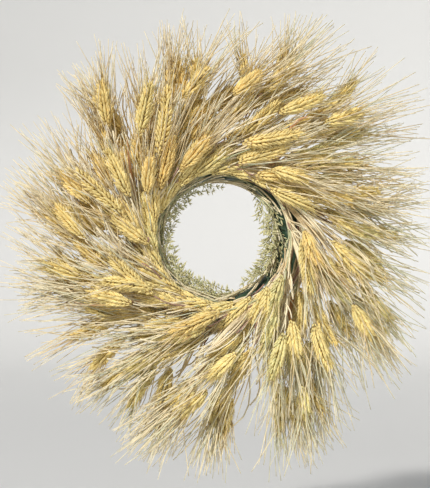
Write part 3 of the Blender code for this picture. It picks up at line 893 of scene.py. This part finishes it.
def bunchLeaves(rowName, row, station, line):
    # dry blades at any place in the bunch, and the peach ones at theirs: each follows its own
    # stem and swells to a blade, wide = sin(pi t)^0.5 towards a point, while it twists
    n = leaf["each"]
    radius = line["reach"] * draw(leaf["reach"], n)
    clock = np.interp(radius, line["radius"], line["clock"]) + rng.normal(0, leaf["aside"], n)
    depth = draw(row["depth"], n)
    mine = np.stack([clock, radius, depth, rng.normal(*leaf["lean"], n)], -1)
    peach = np.array([p[2:] for p in peachLeaves if p[:2] == (rowName, station)]).reshape(-1, 4)
    peach[:, 0] += 360 * np.round((line["seatClock"] - peach[:, 0]) / 360)
    clock, radius, depth, lean = np.concatenate([mine, peach]).T
    kind = np.repeat([0.0, 2.0], [n, len(peach)])
    n += len(peach)
    foot = onWreath(radius, clock, depth)
    paths = stalkPaths(line, foot, outwards(clock, lean), leaf["steps"], leaf["laid"],
                       draw(leaf["tail"], n))
    t = np.linspace(0, 1, leaf["steps"])[None]
    blade = np.clip(leaf["from"] + (1 - leaf["from"]) * t, 0, 0.985)
    swell = np.sin(math.pi * blade) ** 0.5
    broad = np.where(kind > 0, leaf["peachWide"], draw(leaf["wideShare"], n))[:, None]
    wide = leaf["wide"] * swell * smoothStep(t / 0.5) * broad + leaf["stem"]
    roll = rng.uniform(-leaf["roll"], leaf["roll"], (n, 1))
    roll = roll + rng.normal(0, leaf["twist"], (n, 1)) * t
    return sweep(paths, wide, leaf["thick"] + 0 * wide, leaf["sides"], roll=roll,
                 tint=draw(leaf["tint"], n), kind=kind)


plan, lines = stalkPlan()
for (rowName, station), line in lines.items():
    row = rows[rowName]
    mine = [p[2:] for p in plan if p[:2] == (rowName, station)]
    clock, radius, lean, length, depth, tint = np.array(mine).T
    n = len(mine)
    foot = onWreath(radius, clock, depth)
    way = unit(outwards(clock, lean) + rng.normal(*head["forward"], (n, 1)) * front)
    roll = rng.uniform(-head["roll"], head["roll"], n)
    curl = rng.normal(*head["curl"], n)
    lift = rng.normal(*head["lift"], n)
    seeds, roots = earShape(foot, way, length, roll, curl, lift, tint)
    reachShare = np.ones(n)
    if rowName == "back":
        tipRadius = radius + length * np.cos(np.radians(lean))
        reachShare = (line["reach"] - tipRadius) / head["outside"]
        reachShare = np.clip(reachShare, *head["reachShare"])
    awns = awnShape(roots, awnCount(row, station), reachShare, line["reach"] + head["pastReach"])
    stems = stalkPaths(line, foot, way, stem["steps"], stem["laid"],
                       draw(stem["tail"], n))
    share = np.linspace(0, 1, stem["steps"])[None]
    thick = stem["foot"] + (stem["neck"] - stem["foot"]) * share + np.zeros((n, 1))
    kind = np.where(rng.random(n) < stem["darkShare"], 1.0, 0.0)
    parts = [sweep(stems, thick, thick, stem["sides"], tint=tint, kind=kind),
             bunchStraws(row, line), bunchLeaves(rowName, row, station, line), awns]
    if rowName == "front":
        parts += [ringStraws(station), innerStems(station)]
        if station in chordStem["stations"]:
            parts.append(chordStems(station))
    node = f"{rowName}_wheat_{station + 1:02d}"
    label = f"{rowName}{station + 1:02d}"
    heads = join([seeds, bristleShape(roots)])
    buildPiece(f"heads_{label}", heads, earMaterial, node)
    straw = join(parts)
    across = math.ceil(straw["cells"] / 4)
    buildPiece(f"straw_{label}", straw, strawMaterial, node, across)
print(len(plan), "heads made")


sprig = {"sizes": (1.35, 1.25, 0.85, 1.05, 1.05, 0.90, 0.72, 0.60, 0.30), "steps": 24, "sides": 5,
         "stem": 0.0008, "stemTint": 0.4, "taper": 0.6, "easedAt": 0.35, "branches": 9, "beads": 4,
         "branch": 0.0130, "branchFrom": 0.16, "branchTo": 0.99, "branchScatter": 0.012,
         "shorten": (1.30, 0.35, 1.0), "branchGrowth": (0.7, 1.15), "lean": (38, 8),
         "tilt": (0.05, 0.35), "hold": 0.35, "turnUp": 0.4, "twig": 0.00034, "twigSteps": 5,
         "twigSides": 4, "twigTint": (0.1, 0.7), "bead": 0.0084, "beadFrom": 0.10, "beadTo": 0.98,
         "beadForm": (0.15, 0.13, 1.0), "beadTurn": 0.50, "beadScatter": 0.16,
         "beadGrowth": (0.75, 1.2), "beadTint": (0.0, 0.7), "tuftScatter": 2,
         "tufts": ((0, 0.001, 0.0), (13, 0.005, 0.008))}  # shifts in clock, radius and depth
beadMesh = seedTemplate(5, 2)


def sprigLine(node):
    # the mean clock, radius and depth of the sprig in slices of its clock angles
    radius, clock, depth = fromWreath(nodePoints(node))
    middle = np.degrees(np.angle(np.exp(1j * np.radians(clock)).mean()))
    offset = (clock - middle + 180) % 360 - 180
    offset, radius, depth = sliceMeans(offset, lineFit["grassSlices"], radius, depth)
    return np.stack([middle + offset, radius, depth], -1)


def sprigShape(line, scale, shiftClock, shiftRadius, shiftDepth):
    # a stem along the sprig's line; branches leave it left and right at less than half a right
    # angle, shorter towards the tip, and carry small pointed spikelets in a loose herringbone
    t = np.linspace(0, 1, sprig["steps"])
    at = np.linspace(0, len(line) - 1, sprig["steps"])
    clock, radius, depth = (np.interp(at, np.arange(len(line)), line[:, i]) for i in range(3))
    out = smoothStep(t / sprig["easedAt"])
    path = onWreath(radius + shiftRadius * out, clock + shiftClock, depth + shiftDepth * out)[None]
    thick = (sprig["stem"] * (1 - sprig["taper"] * t))[None]
    shapes = [sweep(path, thick, thick, sprig["sides"], tint=sprig["stemTint"], kind=0.0)]
    n, m = sprig["branches"], sprig["beads"]
    spot = np.linspace(sprig["beadFrom"], sprig["beadTo"], m)
    least, most = sprig["shorten"][1:]
    for hand in (-1.0, 1.0):
        u = np.linspace(sprig["branchFrom"], sprig["branchTo"], n)
        u = u + rng.normal(0, sprig["branchScatter"], n)
        origin = np.stack([np.interp(u, t, path[0, :, i]) for i in range(3)], -1)
        along = unit(np.stack([np.interp(u, t, np.gradient(path[0, :, i]))
                               for i in range(3)], -1))
        first = unit(np.cross(along, front))
        size = sprig["branch"] * scale * np.clip(sprig["shorten"][0] - u, least, most)
        size = size * draw(sprig["branchGrowth"], n)
        lean = np.radians(rng.normal(*sprig["lean"], n))[:, None]
        tilt = rng.normal(*sprig["tilt"], (n, 1))
        way = unit(along * np.cos(lean) + hand * first * np.sin(lean) + tilt * front)
        end = origin + way * size[:, None]
        twigs = bezier(origin, way, end, unit(way + sprig["turnUp"] * along), sprig["hold"],
                       sprig["twigSteps"])
        shapes.append(sweep(twigs, sprig["twig"], sprig["twig"], sprig["twigSides"],
                            tint=draw(sprig["twigTint"], n), kind=0.0))
        place = (origin[:, None] + spot[None, :, None] * (end - origin)[:, None]).reshape(-1, 3)
        turnOut = np.where(np.arange(m) % 2, 1, -1)[None, :, None] * sprig["beadTurn"]
        beadWay = way[:, None] + np.cross(way, front)[:, None] * turnOut
        beadWay = unit(beadWay + rng.normal(0, sprig["beadScatter"], (n, m, 3))).reshape(-1, 3)
        big = sprig["bead"] * (0.5 + 0.5 * scale)
        big = big * draw(sprig["beadGrowth"], n * m, 1)
        shapes.append(scatter(beadMesh, place, np.tile(front, (n * m, 1)), beadWay,
                              big * np.array([sprig["beadForm"]]),
                              tint=draw(sprig["beadTint"], n * m), kind=0.0))
    return shapes


for number, scale in enumerate(sprig["sizes"], 1):
    line = sprigLine(f"inner_grass_{number}")
    shapes = []
    for shiftClock, shiftRadius, shiftDepth in sprig["tufts"]:
        shiftClock += rng.normal(0, sprig["tuftScatter"])
        shapes += sprigShape(line, scale, shiftClock, shiftRadius, shiftDepth)
    buildPiece(f"grassSprig{number}", join(shapes), grassMaterial,
               f"inner_grass_{number}")
print("grass sprigs made")


film = {"around": 720, "across": 72, "turns": 10, "surface": 0.0208, "flat": 0.0168,
        "ridge": 0.0005, "edge": 0.03, "start": 0.25, "crease": 0.00022, "behind": 0.4}


def filmShape():
    # section distance + lap ridge + creases: the ridge grows over each winding's width and drops
    # at its edge, and the creases are two sine waves across the winding direction
    clock, seat = np.meshgrid(np.linspace(0, 2 * math.pi, film["around"], endpoint=False),
                              np.linspace(0, 2 * math.pi, film["across"], endpoint=False),
                              indexing="ij")
    distance = np.minimum(film["surface"], film["flat"] / np.maximum(-np.sin(seat), 1e-9))
    lap = (clock * film["turns"] - seat) / (2 * math.pi) + film["start"]
    lap = lap - np.floor(lap)
    distance = distance + film["ridge"] * lap * smoothStep((1 - lap) / film["edge"])
    wave = np.sin(37 * clock + 5 * seat + 2 * np.sin(3 * clock))
    wave = wave + 0.6 * np.sin(83 * clock - 9 * seat + np.sin(5 * seat))
    share = film["behind"] + (1 - film["behind"]) * np.sin(seat) ** 2
    distance = distance + film["crease"] * wave * share
    radius = wreath["ringRadius"] + distance * np.cos(seat)
    points = onWreath(radius, np.degrees(clock), wreath["sectionDepth"] + distance * np.sin(seat))
    index = np.arange(clock.size).reshape(clock.shape)
    nextClock, nextSeat = np.roll(index, -1, axis=0), np.roll(index, -1, axis=1)
    quads = np.stack([index, nextSeat, np.roll(nextSeat, -1, axis=0), nextClock], -1)
    return {"points": points.reshape(-1, 3), "faces": [quads.reshape(-1, 4)]}


buildPiece("woundFilm", filmShape(), filmMaterial, "film_wrap")
print("film made")


view = {"distance": 1.85, "scale": 0.00145, "aimX": -0.0058, "aimZ": -0.0087, "frameHigh": 488,
        "middleDepth": 0.06, "sensor": 36, "farthest": 50}
camera = bpy.data.objects.new("camera", bpy.data.cameras.new("camera"))
bpy.context.collection.objects.link(camera)
camera.location = (wreath["centreX"] + view["aimX"],
                   wreath["backY"] - view["middleDepth"] - view["distance"],
                   wreath["centreZ"] + view["aimZ"])
camera.rotation_euler = (math.pi / 2, 0, 0)
camera.data.sensor_width = view["sensor"]
camera.data.lens = view["sensor"] * view["distance"] / (view["scale"] * view["frameHigh"])
camera.data.clip_end = view["farthest"]
bpy.context.scene.camera = camera

lampPlace = np.array([1.6, -1.3, 0.1])
lamps = {  # place, direction and settings of each
    "keyLight": ("SUN", (0, 0, 0), (0.50, 0.80, -0.62),
                 {"energy": 2.78, "angle": math.radians(5), "color": (1.0, 0.98, 0.95)}),
    "backLight": ("SUN", (0, 0, 0), (-0.5, -0.8, -0.5),
                  {"energy": 0.9, "angle": math.radians(20), "color": (1.0, 1.0, 1.0)}),
    "fillLight": ("AREA", lampPlace, np.array([0, 0, wreath["centreZ"]]) - lampPlace,
                  {"energy": 8, "size": 1.4, "color": (0.94, 0.97, 1.0)}),
}
for name, (kind, place, towards, settings) in lamps.items():
    lamp = bpy.data.lights.new(name, kind)
    for label, value in settings.items():
        setattr(lamp, label, value)
    made = bpy.data.objects.new(name, lamp)
    made.location = place
    made.rotation_euler = Vector(towards).to_track_quat("-Z", "Y").to_euler()
    bpy.context.collection.objects.link(made)

studio = {"sky": rgba(0.90, 0.92, 0.95), "skyStrength": 0.38, "floor": rgba(0.66, 0.66, 0.65),
          "rough": 0.9, "below": 0.52, "radius": 3.4, "curve": 1.4, "high": 1.2, "sides": 64}
bpy.context.scene.view_settings.view_transform = "Standard"
world = bpy.data.worlds.new("studio")
bpy.context.scene.world = world
world.use_nodes = True
background = world.node_tree.nodes["Background"]
background.inputs["Color"].default_value = studio["sky"]
background.inputs["Strength"].default_value = studio["skyStrength"]


def studioFloor():
    # a round floor that curves up into a wall: radius grows along the floor, then a quarter turn
    curve = studio["curve"]
    angle = np.linspace(0, math.pi / 2, 14)
    r = np.concatenate([[0.001, 1.0], studio["radius"] + curve * np.sin(angle),
                        [studio["radius"] + curve]])
    z = wreath["centreZ"] - studio["below"] + np.concatenate([
        [0, 0], curve * (1 - np.cos(angle)), [studio["high"] + curve]])
    turn = np.linspace(0, 2 * math.pi, studio["sides"], endpoint=False)
    points = np.stack(np.broadcast_arrays(r[:, None] * np.cos(turn), r[:, None] * np.sin(turn),
                                          z[:, None]), -1)
    index = np.arange(points[..., 0].size).reshape(points.shape[:2])
    after = np.roll(index, -1, axis=1)
    quads = np.stack([index[:-1], index[1:], after[1:], after[:-1]], -1).reshape(-1, 4)
    mesh = bpy.data.meshes.new("floor")
    mesh.from_pydata(points.reshape(-1, 3).tolist(), [], quads.tolist())
    mesh.shade_smooth()
    material, tree, shader = newMaterial("paleFloor")
    fillInputs(tree, shader, {"Base Color": studio["floor"], "Roughness": studio["rough"]})
    mesh.materials.append(material)
    made = bpy.data.objects.new("floor", mesh)
    bpy.context.collection.objects.link(made)


studioFloor()
print("stage made")
